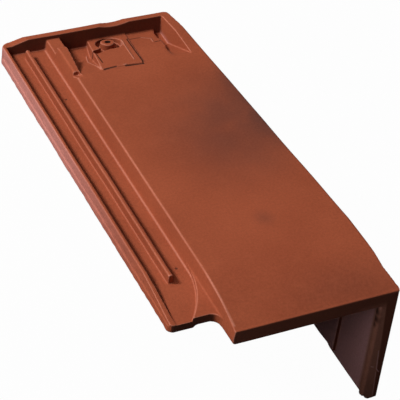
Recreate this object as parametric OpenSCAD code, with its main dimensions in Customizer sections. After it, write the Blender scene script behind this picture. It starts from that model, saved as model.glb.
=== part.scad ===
// Right-hand verge roof tile: a flat interlocking clay tile fired as one piece,
// stored as it rests on a level floor, on the flap's lower edge and the side lock's outer edge.
// The tile is drawn in its own frame (x across from the verge, y from nose to head,
// z up from the field) and turned to its resting tilt at the end.

/* [Tile] */
// length from the nose to the back of the head wall
tile_length = 436; // [380:0.5:480]
// field width from the verge to the lock flank, at the nose
field_width = 154.7; // [120:0.1:220]
// thickness of the field
field_thickness = 13; // [9:0.5:18]
// angle at which the verge runs in towards the head, in plan
verge_angle = 3.75; // [0:0.05:6]
// distance from the nose to where the verge starts to run in
verge_start = 90; // [20:1:120]
// set-back of the verge's outer face from the verge line
verge_setback = 1.6; // [0:0.1:4]
// radius of the rounded arris along the verge
verge_radius = 2.5; // [1:0.5:10]

/* [Nose] */
// drop of the field at the nose
nose_drop = 10.8; // [3:0.1:14]
// length over which the field bends down
nose_run = 68; // [30:1:110]
// height of the nose's front face
nose_height = 14.6; // [10:0.1:22]
// depth of the nose bead under the field
nose_bead = 24; // [12:1:50]
// radius of the rounding over the nose's upper edge
nose_radius = 2.5; // [1:0.5:8]

/* [Side lock] */
// width of the side lock
lock_width = 47; // [30:0.5:80]
// depth of the lock floor below the field
lock_floor = 18.5; // [10:0.5:26]
// thickness of the lock plate
lock_thickness = 8; // [6:0.5:14]
// distance from the nose to the lock's tail end
lock_setback = 31; // [10:1:60]
// width of the full-thickness foot along the lock's outer edge
lock_foot = 23; // [12:1:30]
// relief of the lock's underside beside that foot
lock_relief = 2.5; // [0.5:0.5:4]
// outward draft of the flank between field and lock
flank_draft = 2.4; // [0.5:0.1:5]
// radius of the rounding along the field's flank edge
flank_radius = 2; // [0.5:0.5:4]
// radius of the rounding along the flank's lower edge
flank_under = 3; // [0.5:0.5:5]
// height of the outer wall over the lock floor
wall_height = 10; // [5:0.5:16]
// width of the outer wall's top
wall_top = 3.4; // [2:0.1:8]
// length over which the outer wall runs out at the tail
wall_taper = 62; // [20:1:100]
// step of the outer face where the wall stands on the plate
lip_width = 1; // [0.4:0.1:2]
// height of that step over the lock's underside
lip_height = 6.2; // [3:0.1:12]
// distance from the outer face to the middle rib
rib_offset = 20.5; // [12:0.5:30]
// width of the middle rib's top
rib_width = 3.8; // [2:0.1:8]
// height of the middle rib
rib_height = 9.5; // [4:0.5:14]
// distance from the nose to the middle rib's end
rib_end = 80; // [40:1:140]
// gap between the middle rib and the head wall
rib_gap = 8; // [2:0.5:20]
// draft of the ribs' inner faces
rib_draft = 1.8; // [0.5:0.1:4]
// radius of the roundings along the ribs' tops
rib_radius = 1.2; // [0.3:0.1:1.6]
// radius of the fillets along the ribs' and the flank's feet
foot_radius = 2; // [0.5:0.5:4]
// height of the tail shelf over the lock floor
shelf_height = 4; // [2:0.5:8]
// plan radius of the tail shelf's sweep
shelf_radius = 100; // [60:1:160]
// distance from the nose to where the shelf starts
shelf_start = 95; // [60:1:140]
// radius of the inside corner between lock end and nose
corner_radius = 8.5; // [3:0.5:14]
// radius of the lock's outer upright corner at the tail
tail_radius = 6; // [2:0.5:12]

/* [Head lock] */
// distance from the head's back to where the recess starts
recess_length = 79.5; // [60:0.5:110]
// depth of the recess along the head wall
recess_depth = 24; // [14:0.5:30]
// length of the ramp from the field down into the recess
ramp_run = 51.5; // [20:0.5:60]
// thickness of the clay under the recess
recess_under = 9; // [7:0.5:16]
// length over which the underside swells towards the recess
swell_run = 40; // [20:1:80]
// thickness of the head wall's top
head_wall = 6.5; // [5:0.5:14]
// draft of the head wall's inner face
head_draft = 2.5; // [0.5:0.1:6]
// drop of the head wall's top below the field
head_drop = 5; // [0:0.5:10]
// length over which the field slopes down to the head
head_run = 40; // [20:1:70]
// radius of the upright corner between head wall and lock wall
head_radius = 10; // [3:0.5:12]
// length of the slope from the head wall down to the lock wall
head_fall = 17; // [8:0.5:24]
// distance of the recess from the verge line at the nose
rim_offset = 33; // [24:0.5:50]
// radius of the upright corner between head wall and verge
rim_radius = 6; // [2:0.5:12]

/* [Tongue] */
// width of the rib between lock and recess at its tail end
tongue_width = 5.6; // [3:0.1:12]
// angle at which that rib widens towards the head
tongue_angle = 4.7; // [0:0.1:12]
// length of its low head end, from the head's back
tongue_low = 32; // [16:0.5:45]
// width of its low head end
tongue_foot = 12.5; // [8:0.5:20]
// length of the notch in front of it
notch_length = 9.5; // [4:0.5:16]
// depth of that notch
notch_depth = 5; // [2:0.5:8]
// distance from the recess's tail end to the notch's tail end
notch_lead = 4; // [1:0.5:8]

/* [Nail pad] */
// depth of the pad's surface at the head wall
pad_depth = 19; // [10:0.5:22]
// distance of the pad from the flank, at its tail end
pad_left = 27; // [16:0.5:40]
// angle at which the pad's left side runs in
pad_left_angle = 12; // [0:0.5:16]
// distance of the pad from the verge line, at its tail end
pad_right = 51.5; // [45:0.5:70]
// angle at which the pad's right side runs out
pad_right_angle = 8; // [0:0.5:10]
// height of the plate on the pad
plate_height = 1.2; // [0.5:0.1:3]
// distance of the plate's right side from the verge line, at its tail end
plate_right = 84; // [75:0.5:95]
// angle at which the plate's right side runs out
plate_angle = 10; // [0:0.5:12]
// distance of the nail hole from the flank
nail_from_flank = 59; // [50:0.5:75]
// distance of the nail hole from the head's back
nail_from_head = 19.5; // [15:0.5:30]
// nail hole diameter
nail_d = 5; // [4:0.1:8]
// boss diameter
boss_d = 14; // [9:0.5:18]
// depth of the boss's top below the field
boss_drop = 14; // [10:0.5:17]
// diameter of the well around the boss
well_d = 27; // [20:0.5:32]
// depth of that well below the boss's top
well_depth = 7.5; // [2:0.5:9]
// distance of the well's middle from the nail hole, towards the tail
well_shift = 4; // [0:0.5:6]
// length of the slot that leads from the well towards the tongue
slot_length = 24; // [14:0.5:26]
// width of that slot
slot_width = 8; // [3:0.5:10]
// angle of that slot, in plan
slot_angle = 20; // [0:1:45]
// width of the shallow dip in the head wall's top
dip_width = 24; // [10:1:40]
// depth of that dip
dip_depth = 1.3; // [0.5:0.1:3]
// distance of the dip's middle from the nail hole
dip_shift = 11; // [0:1:20]

/* [Verge flap] */
// depth of the flap below the field
flap_depth = 141.7; // [60:0.1:180]
// distance of the flap's inner face from the verge line
flap_thickness = 11; // [9:0.5:22]
// radius of the flap's lower inner edge
flap_radius = 5.4; // [2:0.1:8]
// length of the flap, from the nose
flap_length = 360; // [200:1:430]
// radius of the bead down the flap's front edge
bead_radius = 5; // [2:0.5:8]
// how far the bead stands in from the flap's inner face
bead_proud = 3.5; // [0.5:0.5:4]
// how far the bead stands out past the verge line
bead_out = 2.8; // [0:0.1:4]
// length over which the bead fades into the flap's outer face
bead_fade = 22; // [8:1:40]
// distance from the nose to the upright stop inside the flap
stop_start = 57; // [20:1:70]
// how far that stop stands in from the flap's inner face
stop_proud = 4; // [1:0.5:8]
// width of the stop's top
stop_width = 5; // [2:0.5:10]
// length over which the stop fades out towards the head
stop_fade = 26; // [5:1:27]
// height of the stop's lower end over the flap's lower edge
stop_lift = 9.5; // [2:0.5:20]

/* [Batten nibs] */
// width of each nib
nib_width = 30; // [15:1:60]
// depth of each nib
nib_depth = 16; // [8:1:25]
// thickness of each nib
nib_thickness = 14; // [8:1:25]
// distance from the head's back to the nibs' bearing face
nib_from_head = 40; // [25:1:70]
// distance of the left nib from the flank
nib_from_flank = 28; // [18:1:40]
// distance of the right nib from the verge line at the nose
nib_from_verge = 37; // [30:1:50]

/* [Hidden] */
$fn = 96;
// how deep pieces sink into each other, and how far cutters reach past what they cut
bury = 0.1;
over = 5;
far = 600;
arc_steps = 4;
clay = [0.60, 0.30, 0.21];

flank_x = -field_width;
flank_foot_x = flank_x - flank_draft;
lock_x = flank_x - lock_width;
lock_bottom = -lock_floor - lock_thickness;
wall_x = lock_x + lip_width;
wall_z = -lock_floor + wall_height;
rib_x = lock_x + rib_offset;
rib_z = -lock_floor + rib_height;
recess_y = tile_length - recess_length;
ramp_y = recess_y + ramp_run;
head_inner_y = tile_length - head_wall;
recess_foot_y = head_inner_y - head_draft;
head_slope = atan2(head_drop, head_run);
under_z = -recess_depth - recess_under;
tongue_y = tile_length - tongue_low;
pad_slope = atan2(pad_depth, recess_foot_y - recess_y);
nose_r = (nose_run * nose_run + nose_drop * nose_drop) / (2 * nose_drop);
nose_bottom = -nose_drop - nose_height;
verge_run = (tile_length - verge_start) / cos(verge_angle);
nail_x = flank_x + nail_from_flank;
nail_y = tile_length - nail_from_head;
nose_slope = asin(nose_run / nose_r);
flap_in = [flap_radius - flap_thickness, flap_radius - flap_depth];
flap_reach = flap_in - [lock_x, lock_bottom];
rest_angle = asin(flap_radius / norm(flap_reach)) - atan2(flap_reach.y, flap_reach.x);
floor_z = lock_x * sin(rest_angle) + lock_bottom * cos(rest_angle);
left_x = wall_x * cos(rest_angle) - wall_z * sin(rest_angle);
right_x = bead_out * cos(rest_angle) + (flap_depth - bury) * sin(rest_angle);

function unit(v) = v / norm(v);

// points that round the corner p between a and b with radius r
function corner(a, p, b, r) =
    let (
        u = unit(a - p),
        v = unit(b - p),
        half = acos(u * v) / 2,
        c = p + unit(u + v) * r / sin(half),
        from = p + u * r / tan(half) - c,
        to = p + v * r / tan(half) - c,
        start = atan2(from.y, from.x),
        sweep = (atan2(to.y, to.x) - start + 540) % 360 - 180
    )
    [for (k = [0:arc_steps])
        let (turn = start + sweep * k / arc_steps)
        c + r * [cos(turn), sin(turn)]];

// an outline of [x, z, radius] points, with its corners rounded
function rounded(points) =
    [for (i = [0:len(points) - 1])
        let (
            n = len(points),
            p = points[i],
            a = points[(i + n - 1) % n],
            b = points[(i + 1) % n]
        )
        each p[2] > 0 ? corner([a.x, a.y], [p.x, p.y], [b.x, b.y], p[2]) : [[p.x, p.y]]];

// a profile drawn in x and z, run along y from y0 over a length
module run(y0, length) {
    translate([0, y0 + length, 0])
        rotate([90, 0, 0])
            linear_extrude(length) children();
}

// a profile drawn in y and z, run along x from x0 over a width
module across(x0, width) {
    translate([x0, 0, 0])
        rotate([90, 0, 90])
            linear_extrude(width) children();
}

// runs a profile along the verge: straight at the nose, then inwards to the head
module along_verge(overlap = 20) {
    run(-over, verge_start + over + overlap) children();
    translate([0, verge_start, 0])
        rotate([0, 0, verge_angle])
            run(-overlap, verge_run + 2 * overlap) children();
}

// half-space right of an upright plane through [x, y], turned in plan
module right_of(x, y, angle) {
    translate([x, y, -far / 2])
        rotate([0, 0, angle]) translate([0, -far / 2, 0]) cube(far);
}

// half-space left of an upright plane through [x, y], turned in plan
module left_of(x, y, angle) {
    translate([x, y, -far / 2])
        rotate([0, 0, angle]) translate([-far, -far / 2, 0]) cube(far);
}

module lock_profile() {
    polygon(rounded([
        [lock_x, lock_bottom, 0],
        [lock_x + lock_foot, lock_bottom, 0],
        [lock_x + lock_foot + lock_relief, lock_bottom + lock_relief, 0],
        [flank_x + field_thickness, lock_bottom + lock_relief, 0],
        [flank_x + field_thickness, -field_thickness, 0],
        [flank_x, -lock_floor, 0],
        [wall_x + wall_top + rib_draft, -lock_floor, foot_radius],
        [wall_x + wall_top, wall_z, rib_radius],
        [wall_x, wall_z, rib_radius],
        [wall_x, lock_bottom + lip_height, 0],
        [lock_x, lock_bottom + lip_height, 0],
    ]));
}

module rib_profile() {
    foot = -lock_floor - bury;
    polygon(rounded([
        [rib_x - foot_radius, foot, 0],
        [rib_x - foot_radius, foot - bury, 0],
        [rib_x + rib_width + rib_draft + foot_radius, foot - bury, 0],
        [rib_x + rib_width + rib_draft + foot_radius, foot, 0],
        [rib_x + rib_width + rib_draft, foot, foot_radius / 2],
        [rib_x + rib_width, rib_z, rib_radius],
        [rib_x, rib_z, rib_radius],
        [rib_x, foot, foot_radius / 2],
    ]));
}

// the flank's face, with the rounded edge of the field above it
module flank_profile() {
    polygon(rounded([
        [flank_x, 0, flank_radius],
        [flank_foot_x, -lock_floor, 0],
        [flank_foot_x, nose_bottom, flank_under],
        [flank_x + field_thickness, nose_bottom, 0],
        [flank_x + field_thickness, 0, 0],
    ]));
}

// fillet between the lock floor and the flank
module flank_foot_profile() {
    x = flank_foot_x + bury;
    z = -lock_floor - bury;
    translate([x - foot_radius, z])
        difference() {
            square([foot_radius + flank_draft, foot_radius]);
            translate([0, foot_radius]) circle(foot_radius);
        }
}

// what is cut off along the verge's upper arris; the circle cuts the faces rather than touching them
module arris_profile(secant = 0.15) {
    translate([-verge_setback - verge_radius, -verge_radius])
        difference() {
            square(verge_radius + over);
            circle(verge_radius + secant);
        }
}

// field, nose and head as one slab, wider than the tile
module slab() {
    inner_x = flank_x + 2 * flank_radius;
    width = -inner_x + over;
    translate([inner_x, 0, -field_thickness])
        cube([width, tile_length, field_thickness]);
    translate([inner_x, 0, nose_bottom])
        cube([width, nose_bead, -nose_bottom]);
    run(0, tile_length) flank_profile();
    across(inner_x, width)
        polygon([
            [recess_y - swell_run, 0],
            [recess_y - swell_run, -field_thickness],
            [recess_y, under_z],
            [tile_length, under_z],
            [tile_length, 0],
        ]);
}

// all that lies outside the verge
module beyond_verge() {
    right_of(-verge_setback, 0, 0);
    translate([0, verge_start, 0])
        rotate([0, 0, verge_angle]) right_of(-verge_setback, verge_run / 2, 0);
}

// rounds the upright corner between the head wall and the verge
module rim_corner_cut(secant = 0.15) {
    y = tile_length - rim_radius;
    x = -(verge_setback + rim_radius) / cos(verge_angle) - (y - verge_start) * tan(verge_angle);
    translate([x, y, -far / 2])
        linear_extrude(far)
            difference() {
                polygon([[0, 0], 20 * [cos(verge_angle), sin(verge_angle)], [20, 20], [0, 20]]);
                circle(rim_radius + secant);
            }
}

// the low shelf at the lock's tail, with its sweep to the flank
module tail_shelf() {
    difference() {
        translate([rib_x, lock_setback, -lock_floor - bury])
            cube([flank_x - rib_x, shelf_start - lock_setback, shelf_height]);
        translate([flank_foot_x - shelf_radius, shelf_start, -lock_floor - 2 * bury])
            cylinder(h = shelf_height + over, r = shelf_radius, $fn = 240);
    }
}

// the rounded inside corner between the lock's end and the nose
module tail_corner() {
    x = flank_foot_x - corner_radius;
    y = lock_setback - corner_radius;
    difference() {
        translate([x, y, lock_bottom + lock_relief])
            cube([corner_radius + flank_draft, corner_radius + bury, lock_thickness - lock_relief + shelf_height]);
        translate([x, y, lock_bottom])
            cylinder(h = far, r = corner_radius);
    }
}

// runs the outer wall out to the lock floor at the tail
module wall_taper_cut() {
    across(lock_x - over, over + lip_width + wall_top + rib_draft + foot_radius)
        polygon([
            [lock_setback - over, 4 * bury - lock_floor],
            [lock_setback, 4 * bury - lock_floor],
            [lock_setback + wall_taper, wall_z + bury],
            [lock_setback - over, wall_z + bury],
        ]);
}

module side_lock() {
    difference() {
        run(lock_setback, tile_length - lock_setback) lock_profile();
        wall_taper_cut();
    }
    run(rib_end, recess_foot_y - rib_gap - rib_end) rib_profile();
    run(lock_setback, tile_length - lock_setback) flank_foot_profile();
    tail_shelf();
    tail_corner();
}

// the head wall over the lock, sloping down to the lock wall and rounded at its outer corner
module lock_head() {
    difference() {
        across(lock_x, lock_width + flank_radius)
            polygon([
                [head_inner_y, 0],
                [recess_foot_y, -lock_floor - bury],
                [recess_foot_y, lock_bottom + lock_relief],
                [tile_length, lock_bottom + lock_relief],
                [tile_length, 0],
            ]);
        run(recess_foot_y - over, head_wall + head_draft + 2 * over)
            polygon([
                [lock_x - over, wall_z],
                [lock_x + head_radius, wall_z],
                [lock_x + head_radius + head_fall, -head_drop + 1],
                [lock_x + head_radius + head_fall, over],
                [lock_x - over, over],
            ]);
    }
}

// rounds the lock's outer upright corner at y, at its head end (way 1) or its tail end (way -1)
module lock_corner_cut(y, way, r, secant = 0.15) {
    translate([lock_x + r, y - way * r, lock_bottom - over])
        difference() {
            translate([-r - over, way > 0 ? 0 : -r - over, 0]) cube([r + over, r + over, far]);
            translate([0, 0, -over]) cylinder(h = 2 * far, r = r + secant);
        }
}

// the ramp and the channel along the head wall, from the tongue to the rim
module recess() {
    difference() {
        across(flank_x + tongue_width, field_width - tongue_width - rim_offset)
            polygon([
                [recess_y, 0],
                [ramp_y, -recess_depth],
                [recess_foot_y, -recess_depth],
                [head_inner_y, over],
                [recess_y, over],
            ]);
        left_of(flank_x + tongue_width, recess_y, -tongue_angle);
        translate([flank_x, tongue_y, -far / 2])
            cube([tongue_foot, far, far]);
        pad();
    }
}

// the wedge that carries the nail hole, with the thin plate on its left part
module pad() {
    difference() {
        across(flank_x, field_width)
            polygon([
                [recess_y - over, over * tan(pad_slope)],
                [tile_length, -(tile_length - recess_y) * tan(pad_slope)],
                [tile_length, under_z],
                [recess_y - over, under_z],
            ]);
        left_of(flank_x + pad_left, recess_y, -pad_left_angle);
        right_of(-pad_right, recess_y, -pad_right_angle);
    }
}

module plate() {
    rise = plate_height / cos(pad_slope);
    difference() {
        across(flank_x, field_width)
            polygon([
                [recess_y, rise],
                [recess_foot_y, rise - pad_depth],
                [recess_foot_y, -recess_depth],
                [recess_y, -over],
            ]);
        left_of(flank_x + pad_left, recess_y, -pad_left_angle);
        right_of(-plate_right, recess_y, -plate_angle);
    }
}

// the well around the boss and the slot beside it
module well() {
    y = nail_y - well_shift;
    z = -boss_drop - well_depth;
    difference() {
        union() {
            translate([nail_x, y, z]) cylinder(h = far, d = well_d);
            translate([nail_x, y - boss_d / 2, z])
                rotate([0, 0, slot_angle])
                    translate([-slot_length, -slot_width / 2, 0])
                        cube([slot_length, slot_width, far]);
        }
        translate([nail_x, nail_y, z - over])
            cylinder(h = over + well_depth, d = boss_d);
        translate([-far / 2, recess_foot_y, -far / 2]) cube(far);
    }
}

// the tongue's low head end and the notch in front of it
module tongue_cuts() {
    across(flank_x - over, tongue_foot + over + bury)
        polygon([
            [tongue_y, wall_z],
            [head_inner_y - head_draft * wall_z / -lock_floor, wall_z],
            [head_inner_y, over],
            [tongue_y, over],
        ]);
    across(flank_x - over, tongue_width + over)
        polygon([
            [recess_y - notch_lead, 0],
            [recess_y - notch_lead + notch_length, -notch_depth],
            [recess_y - notch_lead + notch_length, over],
            [recess_y - notch_lead, over],
        ]);
}

// the flap with the stop inside it, wider than the tile
module flap() {
    run_in = (flap_length - verge_start) * tan(verge_angle);
    translate([0, 0, -flap_depth])
        linear_extrude(flap_depth - field_thickness / 2)
            polygon([
                [2 * over, 0],
                [2 * over, flap_length],
                [-flap_thickness - run_in, flap_length],
                [-flap_thickness, verge_start],
                [-flap_thickness, 0],
            ]);
    translate([-flap_thickness, stop_start, stop_lift - flap_depth])
        linear_extrude(flap_depth - stop_lift - field_thickness + bury)
            polygon([
                [1, 0],
                [1, stop_width + stop_fade],
                [0, stop_width + stop_fade],
                [-stop_proud, stop_width],
                [-stop_proud, 0],
            ]);
}

// the bead down the flap's front edge, proud on both sides
module bead() {
    for (x = [bead_radius - bead_proud - flap_thickness, bead_out - bead_radius])
        translate([x, 0.7 * bead_radius, -flap_depth + bury])
            cylinder(h = flap_depth - field_thickness + bury, r = bead_radius);
    translate([bead_out - bead_radius, 0.7 * bead_radius, -field_thickness])
        cylinder(h = field_thickness, r = bead_radius);
    translate([0, bead_radius, 2 * bury - flap_depth])
        linear_extrude(flap_depth - verge_radius)
            polygon([
                [-verge_radius - verge_setback, 0],
                [bead_out - 0.5, 0],
                [-verge_setback - bury, bead_fade],
                [-verge_radius - verge_setback, bead_fade],
            ]);
}

// what is cut off along the flap's lower inner edge
module flap_edge_profile(secant = 0.15) {
    difference() {
        translate(flap_in - [1, 1] * (flap_radius + 2 * over)) square(flap_radius + 2 * over);
        translate(flap_in) circle(flap_radius + secant);
    }
}

module nibs() {
    for (x = [flank_x + nib_from_flank, -nib_from_verge - nib_width])
        translate([x, tile_length - nib_from_head, under_z - nib_depth])
            cube([nib_width, nib_thickness, nib_depth + bury]);
}

// bends the field down at the nose
module nose_cut() {
    difference() {
        translate([-far / 2, -over, -nose_drop - over])
            cube([far, nose_run + over, nose_drop + 2 * over]);
        translate([-far, nose_run, -nose_r])
            rotate([0, 90, 0]) cylinder(h = 2 * far, r = nose_r, $fn = 720);
    }
}

// rounds the nose's upper edge, between the bent field and the front face
module nose_edge_cut(secant = 0.15) {
    reach = nose_radius * tan(45 - nose_slope / 2);
    z = -nose_drop - reach;
    across(-far / 2, far)
        difference() {
            translate([-over, z]) square([over + reach * cos(nose_slope), far / 2]);
            translate([nose_radius, z]) circle(nose_radius + secant);
        }
}

// slopes the field down to the head and dips the head wall beside the nail
module head_cut() {
    translate([-far / 2, tile_length - head_run, 0])
        rotate([-head_slope, 0, 0]) cube([far, far, 4 * over]);
    dip_r = (dip_width * dip_width / 4 + dip_depth * dip_depth) / (2 * dip_depth);
    translate([nail_x + dip_shift, recess_foot_y, dip_r - head_drop - dip_depth])
        rotate([-90, 0, 0]) cylinder(h = far, r = dip_r);
}

module tile() {
    difference() {
        union() {
            difference() {
                union() {
                    slab();
                    flap();
                }
                beyond_verge();
                recess();
            }
            side_lock();
            lock_head();
            bead();
            plate();
            nibs();
        }
        along_verge() arris_profile();
        along_verge() flap_edge_profile();
        well();
        translate([nail_x, nail_y, -far / 2]) cylinder(h = far, d = nail_d);
        tongue_cuts();
        nose_cut();
        nose_edge_cut();
        head_cut();
        rim_corner_cut();
        lock_corner_cut(tile_length, 1, head_radius);
        lock_corner_cut(lock_setback, -1, tail_radius);
        translate([-far / 2, -far, -far / 2]) cube(far);
    }
}

module verge_tile() {
    color(clay)
        translate([-(left_x + right_x) / 2, -tile_length / 2, -floor_z])
            difference() {
                rotate([0, -rest_angle, 0]) tile();
                translate([-far / 2, -far / 2, floor_z - far]) cube([far, 2 * far, far]);
            }
}

verge_tile();
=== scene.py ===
"""Right-hand verge roof tile in red fired clay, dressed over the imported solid."""

import math

import bmesh
import bpy
from mathutils import Matrix, Vector, noise as clay_noise


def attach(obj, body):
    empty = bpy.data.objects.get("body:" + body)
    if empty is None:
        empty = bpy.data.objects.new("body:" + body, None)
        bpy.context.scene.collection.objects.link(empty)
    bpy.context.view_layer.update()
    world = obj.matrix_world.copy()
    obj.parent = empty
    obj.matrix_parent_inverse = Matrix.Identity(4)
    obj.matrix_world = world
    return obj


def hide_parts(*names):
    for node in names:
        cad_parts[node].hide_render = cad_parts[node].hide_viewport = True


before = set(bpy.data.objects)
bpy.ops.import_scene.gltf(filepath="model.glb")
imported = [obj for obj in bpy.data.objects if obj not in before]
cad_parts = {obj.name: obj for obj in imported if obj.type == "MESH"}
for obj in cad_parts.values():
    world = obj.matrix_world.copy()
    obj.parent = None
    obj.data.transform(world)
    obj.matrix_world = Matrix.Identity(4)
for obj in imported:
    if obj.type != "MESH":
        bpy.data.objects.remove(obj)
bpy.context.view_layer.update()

MM = 0.001

# The tile as drawn in the part: x across from the verge line, y from nose to head, z up from the field.
TILE_LENGTH = 436.0
FIELD_WIDTH = 154.7
LOCK_WIDTH = 47.0
LOCK_UNDERSIDE = -26.5
WALL_FOOT = 1.0
WALL_TOP = -8.5
BEAD_OUT = 2.8
FLAP_FOOT = -141.6
REST_TILT = math.radians(30.622)

LOCK_X = -FIELD_WIDTH - LOCK_WIDTH
NAIL_X = -95.7
NAIL_Y = 416.5


def tilted(x, z):
    """A point of the tile's section after it is turned to its resting tilt."""
    across = x * math.cos(REST_TILT) - z * math.sin(REST_TILT)
    up = x * math.sin(REST_TILT) + z * math.cos(REST_TILT)
    return across, up


# From the tile's own drawing to where it lies on the floor.
left_side = tilted(LOCK_X + WALL_FOOT, WALL_TOP)[0]
right_side = tilted(BEAD_OUT, FLAP_FOOT)[0]
floor_level = tilted(LOCK_X, LOCK_UNDERSIDE)[1]
TILE_PLACE = Vector((-(left_side + right_side) / 2, -TILE_LENGTH / 2, -floor_level)) * MM
TILE_TURN = Matrix.Rotation(-REST_TILT, 4, "Y")
TILE_TO_FLOOR = Matrix.Translation(TILE_PLACE) @ TILE_TURN @ Matrix.Scale(MM, 4)
FLOOR_TO_TILE = TILE_TO_FLOOR.inverted()


def on_tile(x, y, z):
    """A point of the tile's drawing in millimetres, as it lies on the floor in metres."""
    return TILE_TO_FLOOR @ Vector((x, y, z))


def along_tile(x, y, z):
    """A direction of the tile's drawing, as it lies on the floor."""
    return (TILE_TURN.to_3x3() @ Vector((x, y, z))).normalized()


# Shape, in millimetres of the tile's drawing

MERGE_GAP = 0.02
CLAY_VOXEL = 0.6
SMOOTHING = 0.5
RUBBING_ROUNDS = 5
# Rounds of smoothing that measure where the painted arris highlight goes.
HIGHLIGHT_ROUNDS = 16
KILN_WAVE = 55.0
KILN_WARP = 0.35
KILN_SEED = 7
BURR_WAVE = 7.0
BURR_DEPTH = 0.5
BURR_X = LOCK_X + 2.0
BURR_Z = -17.0
TRIANGLE_LIMIT = 190000

# The field's curve down to the nose, and how square its arris is.
NOSE_RUN = 68.0
NOSE_SWEEP = 219.5
NOSE_ROUND = 2.5
NOSE_SQUARENESS = 5.0
NOSE_TOP_SHARE = 1.2

# Stretches of the pad's right side where the step is filled with clay: lowest and highest corner.
FILL_ROUNDS = 120
FILLED_STEPS = [
    ((-60, 350, -30), (-36, 384, 5)),
    ((-60, 405, -30), (-36, 423, -10)),
]


def pressed_mesh(solid):
    """The tile's solid in its own drawing, with its faces joined."""
    mesh = bmesh.new()
    mesh.from_mesh(solid.data)
    bmesh.ops.transform(mesh, matrix=FLOOR_TO_TILE, verts=mesh.verts)
    bmesh.ops.remove_doubles(mesh, verts=mesh.verts, dist=MERGE_GAP)
    data = bpy.data.meshes.new("pressed_clay")
    mesh.to_mesh(data)
    mesh.free()
    return data


def through_modifier(data, kind, only=None, **settings):
    """A mesh after one modifier, on all its points or only on some."""
    bench = bpy.data.objects.new("bench", data)
    bpy.context.scene.collection.objects.link(bench)
    modifier = bench.modifiers.new(kind, kind)
    for name, value in settings.items():
        setattr(modifier, name, value)
    if only is not None:
        bench.vertex_groups.new(name="worked").add(only, 1.0, "REPLACE")
        modifier.vertex_group = "worked"
    shaped = bpy.data.meshes.new_from_object(
        bench.evaluated_get(bpy.context.evaluated_depsgraph_get()))
    bpy.data.objects.remove(bench)
    return shaped


def rubbed_skin(skin):
    """The skin with its arrises rounded and its corners filled.

    Each point keeps how far harder rubbing would move it; the material paints a highlight where that is
    large.
    """
    soft = through_modifier(skin, "SMOOTH", factor=SMOOTHING, iterations=RUBBING_ROUNDS)
    deeper_smoothed = through_modifier(skin, "SMOOTH", factor=SMOOTHING, iterations=HIGHLIGHT_ROUNDS)
    depths = [(a.co - b.co).length for a, b in zip(skin.vertices, deeper_smoothed.vertices)]
    arris_depth = soft.attributes.new("arris_depth", "FLOAT", "POINT")
    arris_depth.data.foreach_set("value", depths)
    return soft


def within(point, low, high):
    return all(a < c < b for a, c, b in zip(low, point, high))


def filled_skin(skin):
    """The skin with the steps smeared that the mould left soft."""
    points = [
        vert.index for vert in skin.vertices
        if any(within(vert.co, low, high) for low, high in FILLED_STEPS)]
    return through_modifier(skin, "SMOOTH", only=points, factor=SMOOTHING, iterations=FILL_ROUNDS)


def field_level(y):
    """The height of the field's top where it curves down to the nose."""
    return -((NOSE_RUN - y) ** 2) / (2 * NOSE_SWEEP)


def crisp_nose(skin):
    """Draws the nose's top arris out to the tighter edge that the cutter leaves."""
    for vert in skin.vertices:
        reach = 1.0 - vert.co.y / NOSE_ROUND
        height = 1.0 - (field_level(vert.co.y) - vert.co.z) / NOSE_ROUND
        if reach > 0.0 and 0.0 < height < NOSE_TOP_SHARE:
            tight = (reach ** NOSE_SQUARENESS + height ** NOSE_SQUARENESS) ** (1 / NOSE_SQUARENESS)
            gain = math.hypot(reach, height) / tight
            vert.co.y = NOSE_ROUND * (1.0 - reach * gain)
            vert.co.z = field_level(vert.co.y) - NOSE_ROUND * (1.0 - height * gain)


def warp(skin):
    """The slight unevenness that drying and firing leave, and the burr along the lock's outer foot."""
    clay_noise.seed_set(KILN_SEED)
    for vert in skin.vertices:
        place = vert.co.copy()
        vert.co += clay_noise.noise_vector(place / KILN_WAVE) * KILN_WARP
        if place.x < BURR_X and place.z < BURR_Z:
            vert.co.x += clay_noise.noise(place / BURR_WAVE) * BURR_DEPTH


def softened_tile(solid):
    """The tile as one fine skin with its edges softened, as clay leaves the mould and the kiln."""
    skin = through_modifier(pressed_mesh(solid), "REMESH", mode="VOXEL", voxel_size=CLAY_VOXEL)
    skin = filled_skin(rubbed_skin(skin))
    crisp_nose(skin)
    warp(skin)
    skin = through_modifier(skin, "TRIANGULATE")
    share = min(1.0, TRIANGLE_LIMIT / len(skin.polygons))
    skin = through_modifier(skin, "DECIMATE", decimate_type="COLLAPSE", ratio=share)
    skin.transform(TILE_TO_FLOOR)
    skin.shade_smooth()
    skin.name = "verge_tile_clay"
    tile = bpy.data.objects.new("verge_tile_clay", skin)
    bpy.context.scene.collection.objects.link(tile)
    return tile


tile = softened_tile(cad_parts["verge_tile"])
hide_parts("verge_tile")
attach(tile, "root")

# Tools for materials


def make(tree, kind, **settings):
    node = tree.nodes.new("ShaderNode" + kind)
    for name, value in settings.items():
        setattr(node, name, value)
    return node


def feed(tree, socket, source):
    """Links an output to a socket, or writes a plain value on it."""
    if isinstance(source, bpy.types.NodeSocket):
        tree.links.new(source, socket)
    else:
        socket.default_value = source


def worked_out(tree, operation, *terms, clamp=False):
    """One step of sums on numbers."""
    node = make(tree, "Math", operation=operation, use_clamp=clamp)
    for socket, term in zip(node.inputs, terms):
        feed(tree, socket, term)
    return node.outputs[0]


def times(tree, first, second):
    return worked_out(tree, "MULTIPLY", first, second)


def vector_step(tree, operation, *terms, output="Vector"):
    """One step of sums on vectors."""
    node = make(tree, "VectorMath", operation=operation)
    for socket, term in zip(node.inputs, terms):
        feed(tree, socket, term)
    return node.outputs[output]


def eased(tree, value, none, full):
    """0 where the value is none and 1 where it is full, with soft ends."""
    node = make(tree, "MapRange", interpolation_type="SMOOTHSTEP")
    for name, source in (("Value", value), ("From Min", none), ("From Max", full)):
        feed(tree, node.inputs[name], source)
    return node.outputs["Result"]


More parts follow.
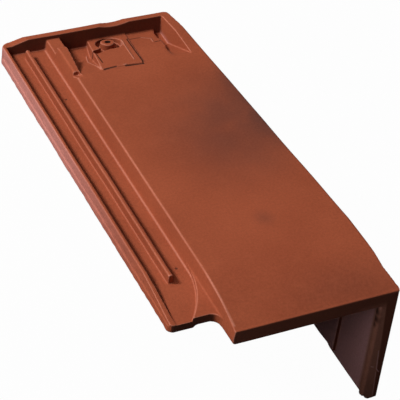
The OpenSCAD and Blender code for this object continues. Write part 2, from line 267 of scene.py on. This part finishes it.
def tinted(tree, share, below, above, mode="MIX"):
    """One colour laid over another."""
    node = make(tree, "Mix", data_type="RGBA", blend_type=mode)
    colours = [s for s in node.inputs if s.type == "RGBA"]
    feed(tree, node.inputs["Factor"], share)
    feed(tree, colours[0], below)
    feed(tree, colours[1], above)
    return [s for s in node.outputs if s.type == "RGBA"][0]


def noise(tree, place, scale, detail=3.0, roughness=0.5):
    node = make(tree, "TexNoise")
    feed(tree, node.inputs["Vector"], place)
    feed(tree, node.inputs["Scale"], scale)
    node.inputs["Detail"].default_value = detail
    node.inputs["Roughness"].default_value = roughness
    return node.outputs["Fac"]


def new_group(name, inputs, outputs):
    """A shader node group with named sockets, and its input and output nodes."""
    group = bpy.data.node_groups.new(name, "ShaderNodeTree")
    for label, kind in inputs:
        group.interface.new_socket(label, in_out="INPUT", socket_type="NodeSocket" + kind)
    for label, kind in outputs:
        group.interface.new_socket(label, in_out="OUTPUT", socket_type="NodeSocket" + kind)
    entry = group.nodes.new("NodeGroupInput")
    leave = group.nodes.new("NodeGroupOutput")
    return group, entry.outputs, leave.inputs


def place_group(tree, group, output, **values):
    """Puts a group into a material, with a value or a link for each input, and gives one output."""
    node = make(tree, "Group", node_tree=group)
    for name, source in values.items():
        feed(tree, node.inputs[name], source)
    return node.outputs[output]


# Effects on the clay, in millimetres of the tile's drawing

# Sizes of the grain are in waves per millimetre.
COARSE_GRAIN = 0.45
COARSE_SHARE = 0.6
FINE_GRAIN = 1.4
FINE_SHARE = 0.4
GRAIN_TONES = (0.36, 0.64)


def soft_patch_group():
    """1 in the middle of an oval patch turned in plan, fading to 0 at its edge."""
    group, given, result = new_group(
        "Soft patch",
        [("Position", "Vector"), ("Centre", "Vector"), ("Reach", "Vector"), ("Turn", "Float")],
        [("Mask", "Float")])
    offset = vector_step(group, "SUBTRACT", given["Position"], given["Centre"])
    turned = make(group, "VectorRotate", rotation_type="Z_AXIS")
    feed(group, turned.inputs["Vector"], offset)
    feed(group, turned.inputs["Angle"], given["Turn"])
    scaled = vector_step(group, "DIVIDE", turned.outputs["Vector"], given["Reach"])
    distance = vector_step(group, "LENGTH", scaled, output="Value")
    feed(group, result["Mask"], eased(group, distance, 1.0, 0.0))
    return group


def scored_line_group():
    """1 on a straight line between two points, fading to 0 at its half width."""
    group, given, result = new_group(
        "Scored line",
        [("Position", "Vector"), ("Start", "Vector"), ("End", "Vector"), ("Half width", "Float")],
        [("Mask", "Float")])
    line = vector_step(group, "SUBTRACT", given["End"], given["Start"])
    offset = vector_step(group, "SUBTRACT", given["Position"], given["Start"])
    along = vector_step(group, "DOT_PRODUCT", offset, line, output="Value")
    whole = vector_step(group, "DOT_PRODUCT", line, line, output="Value")
    share = worked_out(group, "DIVIDE", along, whole, clamp=True)
    scaled = make(group, "VectorMath", operation="SCALE")
    feed(group, scaled.inputs[0], line)
    feed(group, scaled.inputs["Scale"], share)
    apart = vector_step(group, "SUBTRACT", offset, scaled.outputs["Vector"])
    distance = vector_step(group, "LENGTH", apart, output="Value")
    feed(group, result["Mask"], eased(group, distance, given["Half width"], 0.0))
    return group


def clay_grain_group():
    """The sandy grain of pressed clay: its height, and its light and dark specks."""
    group, given, result = new_group(
        "Clay grain", [("Position", "Vector")], [("Height", "Float"), ("Tone", "Float")])
    coarse = noise(group, given["Position"], COARSE_GRAIN, detail=4.0, roughness=0.65)
    fine = noise(group, given["Position"], FINE_GRAIN, detail=2.0, roughness=0.6)
    coarse_part = times(group, coarse, COARSE_SHARE)
    fine_part = times(group, fine, FINE_SHARE)
    mixed = worked_out(group, "ADD", coarse_part, fine_part)
    feed(group, result["Height"], mixed)
    feed(group, result["Tone"], eased(group, mixed, *GRAIN_TONES))
    return group


SOFT_PATCH = soft_patch_group()
SCORED_LINE = scored_line_group()
CLAY_GRAIN = clay_grain_group()

# Clay: colours

FIELD_RED = (0.298, 0.0685, 0.0295, 1.0)
DARK_RED = (0.268, 0.060, 0.0255, 1.0)
WARM_RED = (0.335, 0.080, 0.035, 1.0)
SMOKE = (0.075, 0.030, 0.0235, 1.0)
OUTER_WALL_PINK = (0.430, 0.165, 0.135, 1.0)
# Flap's inner face: dust with painted reflection and light from the floor; also the colour of the dry
# scratches.
FLAP_DUST_AND_REFLECTION = (0.520, 0.260, 0.255, 1.0)
BEAD_BROWN = (0.310, 0.125, 0.085, 1.0)
# Painted highlight on arrises, in corners and along lit steps.
ARRIS_HIGHLIGHT = (0.480, 0.180, 0.120, 1.0)
# Painted shade on the faces that look towards the nose.
NOSEWARD_SHADE = (0.118, 0.037, 0.022, 1.0)
# Painted deep shade, for set-back end faces and the nail hole.
DEEP_SHADE = (0.006, 0.003, 0.002, 1.0)
STEP_SHADE = (0.035, 0.012, 0.008, 1.0)
DARK_SPECK = (0.90, 0.90, 0.90, 1.0)
LIGHT_SPECK = (1.09, 1.09, 1.09, 1.0)
CLAY_ROUGHNESS = 0.8
CLAY_SHINE = 0.12

# Clay: slow patches in the body and in the smoke, in waves per millimetre, and where they show.
BODY_WAVES = 0.012
BODY_RANGE = (0.35, 0.65)
MOTTLE_WAVES = 0.06
MOTTLE_RANGE = (0.5, 0.75)
DRIFT_WAVES = 0.03
DRIFT_RANGE = (-0.3, 0.75)

# Clay: where an effect begins and where it is full, across, along or up the tile.
OUTER_WALL_ACROSS = (LOCK_X + 2.2, LOCK_X + 1.2)
OUTER_WALL_ALONG = (40.0, 330.0)
FLAP_ACROSS = (-40.0, -30.0)
FLAP_DOWN = (-18.0, -32.0)
TAIL_ENDS = (78.0, 42.0)
HEAD_WALL = (410.0, 420.0)
BEHIND_NOSE = (12.0, 22.0)
BEFORE_HEAD = (410.0, 400.0)
BEAD_INNER_HALF = (-9.4, -11.0)
BEAD_FRONT = (14.0, 9.0)
SCRATCHED_FRONT = (6.0, 4.0)

# Clay: the same for the way a face looks, for the depth of rubbing and for the nail hole's mask.
LOOKS_INWARD = (-0.2, -0.6)
LOOKS_NOSEWARD = (-0.7, -0.96)
RUBBED_DEPTH = (0.10, 0.42)
NAIL_HOLE_EDGE = (0.05, 0.25)

# How far the brown on the bead leans over, per millimetre of height.
BEAD_LEAN = 0.061

# Clay: how much of an effect's colour covers what lies below it.
MOTTLE_SHARE = 0.3
NOSEWARD_SHADE_SHARE = 0.88
DEEP_SHARE = 0.4
ARRIS_HIGHLIGHT_SHARE = 0.9
FLANK_HIGHLIGHT_SHARE = 0.6
STEP_HIGHLIGHT_SHARE = 0.7
PIT_SHARE = 0.9

# Clay: heights of the fine relief.
GRAIN_RELIEF = 0.2
PALE_RELIEF = 0.5
SHADED_RELIEF = 0.5

# Kiln smoke on the field: centre, reach, turn in plan in degrees, strength.
SMOKE_PATCHES = [
    ((-7, 274, 0), (28, 110, 60), 0.0, 0.88),
    ((-28, 256, 0), (80, 110, 60), 10.0, 0.62),
    ((-60, 215, 0), (80, 105, 60), -20.0, 0.30),
    ((-95, 245, 0), (70, 130, 60), 0.0, 0.14),
    ((-40, 15, -8), (90, 45, 40), 0.0, 0.18),
    ((-75, 113, 0), (14, 16, 20), 0.0, 0.34),
]
# Painted shadow lines along small steps in the recess, in plan: start, end, half width.
SHADED_STEPS = [
    ((-125.0, 356.4), (-112.5, 357.4), 1.4),
    ((-102.8, 356.0), (-85.1, 354.6), 1.4),
    ((-75.9, 413.8), (-85.3, 354.1), 1.1),
    ((-117.8, 392.2), (-120.8, 370.5), 0.9),
    ((-75.0, 414.8), (-61.1, 414.4), 0.9),
    ((-52.9, 398.2), (-47.0, 398.5), 1.0),
    ((-46.5, 386.0), (-46.8, 378.0), 1.8),
]
# Painted highlight lines along the lit edges of small steps in the recess, in plan: start, end, half width.
STEP_HIGHLIGHTS = [
    ((-81.5, 415.2), (-90.1, 365.6), 1.3),
    ((-61.1, 414.4), (-52.5, 407.9), 1.2),
    ((-52.5, 407.9), (-54.2, 399.9), 1.2),
    ((-119.4, 411.6), (-125.7, 393.3), 1.2),
    ((-125.7, 393.3), (-125.5, 374.2), 1.2),
    ((-125.5, 374.2), (-127.2, 358.5), 1.2),
    ((-104.2, 357.9), (-102.2, 357.9), 1.6),
]
# Painted highlight lines along the flank's top arris and foot: start, end, half width.
FLANK_HIGHLIGHTS = [
    ((-154.5, 352.0, 0.0), (-154.5, 68.0, 0.0), 1.8),
    ((-154.5, 68.0, 0.0), (-154.5, 35.0, -2.5), 1.8),
    ((-154.5, 35.0, -2.5), (-154.5, 6.0, -8.8), 1.6),
    ((-158.2, 424.0, -18.0), (-158.2, 132.0, -18.0), 1.5),
    ((-158.2, 132.0, -18.0), (-157.6, 45.0, -19.0), 1.5),
]
# Pits where a grain fell out, with painted shade in them, and a dark patch at the top of the bead's inner
# side: middle and radius.
PITS = [
    ((-167.5, 346.1, -18.5), 2.0),
    ((-165.9, 95.6, -18.5), 2.2),
    ((-12.1, 238.4, 0.0), 1.2),
    ((-15.0, 4.0, -34.0), 7.0),
    ((-14.5, 3.5, -42.0), 7.5),
    ((-15.5, 4.5, -49.0), 5.0),
]
# Dry scratches on the flap's front, across and up: start, end, half width.
FRONT_SCRATCHES = [
    ((-6.7, -80.6), (-4.7, -103.9), 0.8),
    ((-4.7, -103.9), (-1.6, -108.6), 0.9),
    ((-11.0, -99.0), (-8.5, -100.5), 0.8),
    ((-4.6, -108.0), (-2.6, -138.0), 0.5),
]
NAIL_HOLE = (NAIL_X, NAIL_Y, -22.0)
NAIL_HOLE_REACH = (4.3, 4.3, 40.0)


def tile_place(tree):
    """Object coordinates turned back into the millimetres of the tile's drawing."""
    coordinates = make(tree, "TexCoord")
    mapping = make(tree, "Mapping", vector_type="TEXTURE")
    mapping.inputs["Location"].default_value = TILE_PLACE
    mapping.inputs["Rotation"].default_value = (0.0, -REST_TILT, 0.0)
    mapping.inputs["Scale"].default_value = (MM, MM, MM)
    feed(tree, mapping.inputs["Vector"], coordinates.outputs["Object"])
    return mapping.outputs["Vector"]


def tile_facing(tree):
    """The way the surface looks, turned back into the tile's drawing."""
    turn = make(tree, "Mapping", vector_type="VECTOR")
    turn.inputs["Rotation"].default_value = (0.0, REST_TILT, 0.0)
    feed(tree, turn.inputs["Vector"], make(tree, "NewGeometry").outputs["Normal"])
    return turn.outputs["Vector"]


def split(tree, vector):
    """A vector's three parts."""
    node = make(tree, "SeparateXYZ")
    feed(tree, node.inputs[0], vector)
    return node.outputs


def flattened(tree, across, along):
    """A view of the tile from above or from the front: two of its axes."""
    node = make(tree, "CombineXYZ")
    feed(tree, node.inputs["X"], across)
    feed(tree, node.inputs["Y"], along)
    return node.outputs["Vector"]


def scored(tree, view, start, end, half_width):
    """A line between two points of the tile, or of a flat view of it."""
    start = Vector(start).to_3d()
    end = Vector(end).to_3d()
    return place_group(
        tree, SCORED_LINE, "Mask", Position=view, Start=start, End=end, **{"Half width": half_width})


def patch(tree, place, centre, reach, turn=0.0):
    """A soft oval patch on the tile."""
    return place_group(
        tree, SOFT_PATCH, "Mask", Position=place, Centre=centre, Reach=reach, Turn=math.radians(turn))


def strongest(tree, masks):
    """The highest of several masks."""
    highest = masks[0]
    for mask in masks[1:]:
        highest = worked_out(tree, "MAXIMUM", highest, mask)
    return highest


def body_colour(tree, place):
    """The body of the clay, in slow patches of warmer and darker red."""
    slow = eased(tree, noise(tree, place, BODY_WAVES, detail=2.0), *BODY_RANGE)
    colour = tinted(tree, slow, FIELD_RED, DARK_RED)
    mottle = eased(tree, noise(tree, place, MOTTLE_WAVES, detail=4.0, roughness=0.6), *MOTTLE_RANGE)
    return tinted(tree, times(tree, mottle, MOTTLE_SHARE), colour, WARM_RED)


def smoked(tree, place, colour):
    """Kiln smoke over the field, ragged where it drifted."""
    drift = eased(tree, noise(tree, place, DRIFT_WAVES), *DRIFT_RANGE)
    for centre, reach, turn, strength in SMOKE_PATCHES:
        ragged = times(tree, patch(tree, place, centre, reach, turn), drift)
        colour = tinted(tree, times(tree, ragged, strength), colour, SMOKE)
    return colour


def paler_outer_wall(tree, x, y, colour):
    """Paler pink down the outer face of the lock wall, strongest towards the head."""
    outer_wall_share = times(tree, eased(tree, x, *OUTER_WALL_ACROSS), eased(tree, y, *OUTER_WALL_ALONG))
    return tinted(tree, outer_wall_share, colour, OUTER_WALL_PINK)


def flap_and_ends(tree, x, y, z, colour):
    """Dust and painted reflection inside the flap, painted shade on the ends and brown on the bead; gives
    the colour and the bead's mask.
    """
    facing = split(tree, tile_facing(tree))

    # grey on the flap's inner face, partly dust and partly painted reflection and light from the white floor
    on_flap = times(tree, eased(tree, x, *FLAP_ACROSS), eased(tree, z, *FLAP_DOWN))
    dust_and_reflection = times(tree, on_flap, eased(tree, facing["X"], *LOOKS_INWARD))
    colour = tinted(tree, dust_and_reflection, colour, FLAP_DUST_AND_REFLECTION)

    # painted shade on the faces that look towards the nose, deepest on the tail end of the lock
    at_ends = worked_out(tree, "ADD", eased(tree, y, *TAIL_ENDS), eased(tree, y, *HEAD_WALL))
    noseward = times(tree, eased(tree, facing["Y"], *LOOKS_NOSEWARD), at_ends)
    colour = tinted(tree, times(tree, noseward, NOSEWARD_SHADE_SHARE), colour, NOSEWARD_SHADE)
    set_back = times(tree, eased(tree, y, *BEHIND_NOSE), eased(tree, y, *BEFORE_HEAD))
    deep = times(tree, noseward, set_back)
    colour = tinted(tree, times(tree, deep, DEEP_SHARE), colour, DEEP_SHADE)

    # the bead down the flap's front, browner on its inner half, up to a line that leans over
    lean = worked_out(tree, "MULTIPLY_ADD", z, BEAD_LEAN, x)
    inner_half = times(tree, on_flap, eased(tree, lean, *BEAD_INNER_HALF))
    on_bead = times(tree, inner_half, eased(tree, y, *BEAD_FRONT))
    return tinted(tree, on_bead, colour, BEAD_BROWN), on_bead


def highlighted_arrises(tree, place, on_bead, colour):
    """Painted highlight on rounded arrises and in corners, and painted highlight lines along the flank, but
    not on the bead.
    """
    arris_depth = make(tree, "Attribute", attribute_name="arris_depth").outputs["Fac"]
    edge = times(tree, eased(tree, arris_depth, *RUBBED_DEPTH), ARRIS_HIGHLIGHT_SHARE)
    off_bead = worked_out(tree, "SUBTRACT", 1.0, on_bead)
    colour = tinted(tree, times(tree, edge, off_bead), colour, ARRIS_HIGHLIGHT)
    flank_highlight = strongest(tree, [scored(tree, place, *line) for line in FLANK_HIGHLIGHTS])
    return tinted(tree, times(tree, flank_highlight, FLANK_HIGHLIGHT_SHARE), colour, ARRIS_HIGHLIGHT)


def clay_material():
    material = bpy.data.materials.new("red_clay")
    material.use_nodes = True
    tree = material.node_tree
    shader = tree.nodes["Principled BSDF"]
    place = tile_place(tree)
    x, y, z = split(tree, place)

    colour = smoked(tree, place, body_colour(tree, place))
    colour = paler_outer_wall(tree, x, y, colour)
    colour, on_bead = flap_and_ends(tree, x, y, z, colour)
    colour = highlighted_arrises(tree, place, on_bead, colour)

    # painted shadow and highlight lines along small steps in the recess
    plan = flattened(tree, x, y)
    shaded = strongest(tree, [scored(tree, plan, *line) for line in SHADED_STEPS])
    step_highlight = strongest(tree, [scored(tree, plan, *line) for line in STEP_HIGHLIGHTS])
    colour = tinted(tree, times(tree, step_highlight, STEP_HIGHLIGHT_SHARE), colour, ARRIS_HIGHLIGHT)
    colour = tinted(tree, shaded, colour, STEP_SHADE)

    # pits with painted shade, the dark patch on the bead, and dry scratches on the flap's front
    pits = strongest(tree, [patch(tree, place, middle, (radius,) * 3) for middle, radius in PITS])
    colour = tinted(tree, times(tree, pits, PIT_SHARE), colour, STEP_SHADE)
    front_view = flattened(tree, x, z)
    scratches = strongest(tree, [scored(tree, front_view, *line) for line in FRONT_SCRATCHES])
    dry = times(tree, scratches, eased(tree, y, *SCRATCHED_FRONT))
    colour = tinted(tree, dry, colour, FLAP_DUST_AND_REFLECTION)

    # the nail hole, painted with deep shade all through
    bored = patch(tree, place, NAIL_HOLE, NAIL_HOLE_REACH)
    colour = tinted(tree, eased(tree, bored, *NAIL_HOLE_EDGE), colour, DEEP_SHADE)

    # specks
    tone = place_group(tree, CLAY_GRAIN, "Tone", Position=place)
    speck = tinted(tree, tone, DARK_SPECK, LIGHT_SPECK)
    colour = tinted(tree, 1.0, colour, speck, mode="MULTIPLY")
    feed(tree, shader.inputs["Base Color"], colour)

    # relief in millimetres: grain, marks and pits
    height = place_group(tree, CLAY_GRAIN, "Height", Position=place)
    raised = worked_out(
        tree, "ADD", times(tree, height, GRAIN_RELIEF), times(tree, step_highlight, PALE_RELIEF))
    sunk = times(tree, worked_out(tree, "MAXIMUM", shaded, pits), SHADED_RELIEF)
    bump = make(tree, "Bump")
    bump.inputs["Strength"].default_value = 1.0
    bump.inputs["Distance"].default_value = MM
    feed(tree, bump.inputs["Height"], worked_out(tree, "SUBTRACT", raised, sunk))
    feed(tree, shader.inputs["Normal"], bump.outputs["Normal"])
    shader.inputs["Roughness"].default_value = CLAY_ROUGHNESS
    shader.inputs["Specular IOR Level"].default_value = CLAY_SHINE
    return material


tile.data.materials.append(clay_material())

# Floor

FLOOR_HALF = 6.0
FLOOR_GREY = (0.36, 0.36, 0.36, 1.0)
FLOOR_ROUGHNESS = 0.9
FLOOR_GLOW = 1.0
FLOOR_SEEN = 0.98


def pale_floor():
    """A wide floor, grey to the lamps and nearly white to the camera."""
    mesh = bmesh.new()
    bmesh.ops.create_grid(mesh, x_segments=1, y_segments=1, size=FLOOR_HALF)
    data = bpy.data.meshes.new("floor")
    mesh.to_mesh(data)
    mesh.free()
    floor = bpy.data.objects.new("floor", data)
    bpy.context.scene.collection.objects.link(floor)
    material = bpy.data.materials.new("pale_floor")
    material.use_nodes = True
    tree = material.node_tree
    shader = tree.nodes["Principled BSDF"]
    shader.inputs["Base Color"].default_value = FLOOR_GREY
    shader.inputs["Roughness"].default_value = FLOOR_ROUGHNESS
    glow = make(tree, "Emission")
    glow.inputs["Strength"].default_value = FLOOR_GLOW
    seen = make(tree, "LightPath").outputs["Is Camera Ray"]
    mix = make(tree, "MixShader")
    feed(tree, mix.inputs["Fac"], times(tree, seen, FLOOR_SEEN))
    feed(tree, mix.inputs[1], shader.outputs[0])
    feed(tree, mix.inputs[2], glow.outputs[0])
    feed(tree, tree.nodes["Material Output"].inputs["Surface"], mix.outputs[0])
    data.materials.append(material)


pale_floor()

# Light

# Soft lamps: name, direction on the tile's drawing, distance and side in metres, watts.
LAMPS = [
    ("key_from_left", (-0.66, 0.2, 0.72), 2.6, 0.55, 73.0),
    ("fill_from_above", (-0.1, 0.45, 0.9), 2.2, 1.6, 10.0),
    ("fill_from_front_left", (-0.67, -0.45, 0.57), 1.4, 0.6, 3.0),
    ("fill_from_right", (0.9, 0.1, -0.4), 1.6, 0.9, 9.0),
]
STUDIO_WHITE = (1.0, 1.0, 1.0, 1.0)
STUDIO_GLOW = 0.01


def lamp(name, direction, distance, side, watts):
    """A square soft lamp that shines on the middle of the field."""
    target = on_tile(-FIELD_WIDTH / 2, TILE_LENGTH / 2, 0)
    toward = along_tile(*direction)
    light = bpy.data.lights.new(name, "AREA")
    light.shape = "SQUARE"
    light.size = side
    light.energy = watts
    holder = bpy.data.objects.new(name, light)
    holder.location = target + toward * distance
    holder.rotation_euler = toward.to_track_quat("Z", "Y").to_euler()
    bpy.context.scene.collection.objects.link(holder)


for settings in LAMPS:
    lamp(*settings)

world = bpy.data.worlds.new("studio")
world.use_nodes = True
background = world.node_tree.nodes["Background"]
background.inputs["Color"].default_value = STUDIO_WHITE
background.inputs["Strength"].default_value = STUDIO_GLOW
bpy.context.scene.world = world

# Camera: where the photographer stood, in the tile's drawing

CAMERA_PLACE = (-772.4, -994.2, 1103.8)
CAMERA_RIGHT = (0.9025, -0.4192, 0.0987)
CAMERA_UP = (0.2031, 0.6163, 0.7608)
CAMERA_BACK = (-0.3798, -0.6666, 0.6414)
CAMERA_LENS = 175.0
CAMERA_SENSOR = 36.0
CAMERA_SIGHT = 50.0


def photo_camera():
    camera = bpy.data.cameras.new("photo_camera")
    camera.lens = CAMERA_LENS
    camera.sensor_width = CAMERA_SENSOR
    camera.sensor_fit = "HORIZONTAL"
    camera.clip_end = CAMERA_SIGHT
    holder = bpy.data.objects.new("photo_camera", camera)
    axes = [along_tile(*axis) for axis in (CAMERA_RIGHT, CAMERA_UP, CAMERA_BACK)]
    turn = Matrix(axes).transposed().to_4x4()
    holder.matrix_world = Matrix.Translation(on_tile(*CAMERA_PLACE)) @ turn
    bpy.context.scene.collection.objects.link(holder)
    bpy.context.scene.camera = holder


photo_camera()
bpy.context.scene.view_settings.view_transform = "Standard"
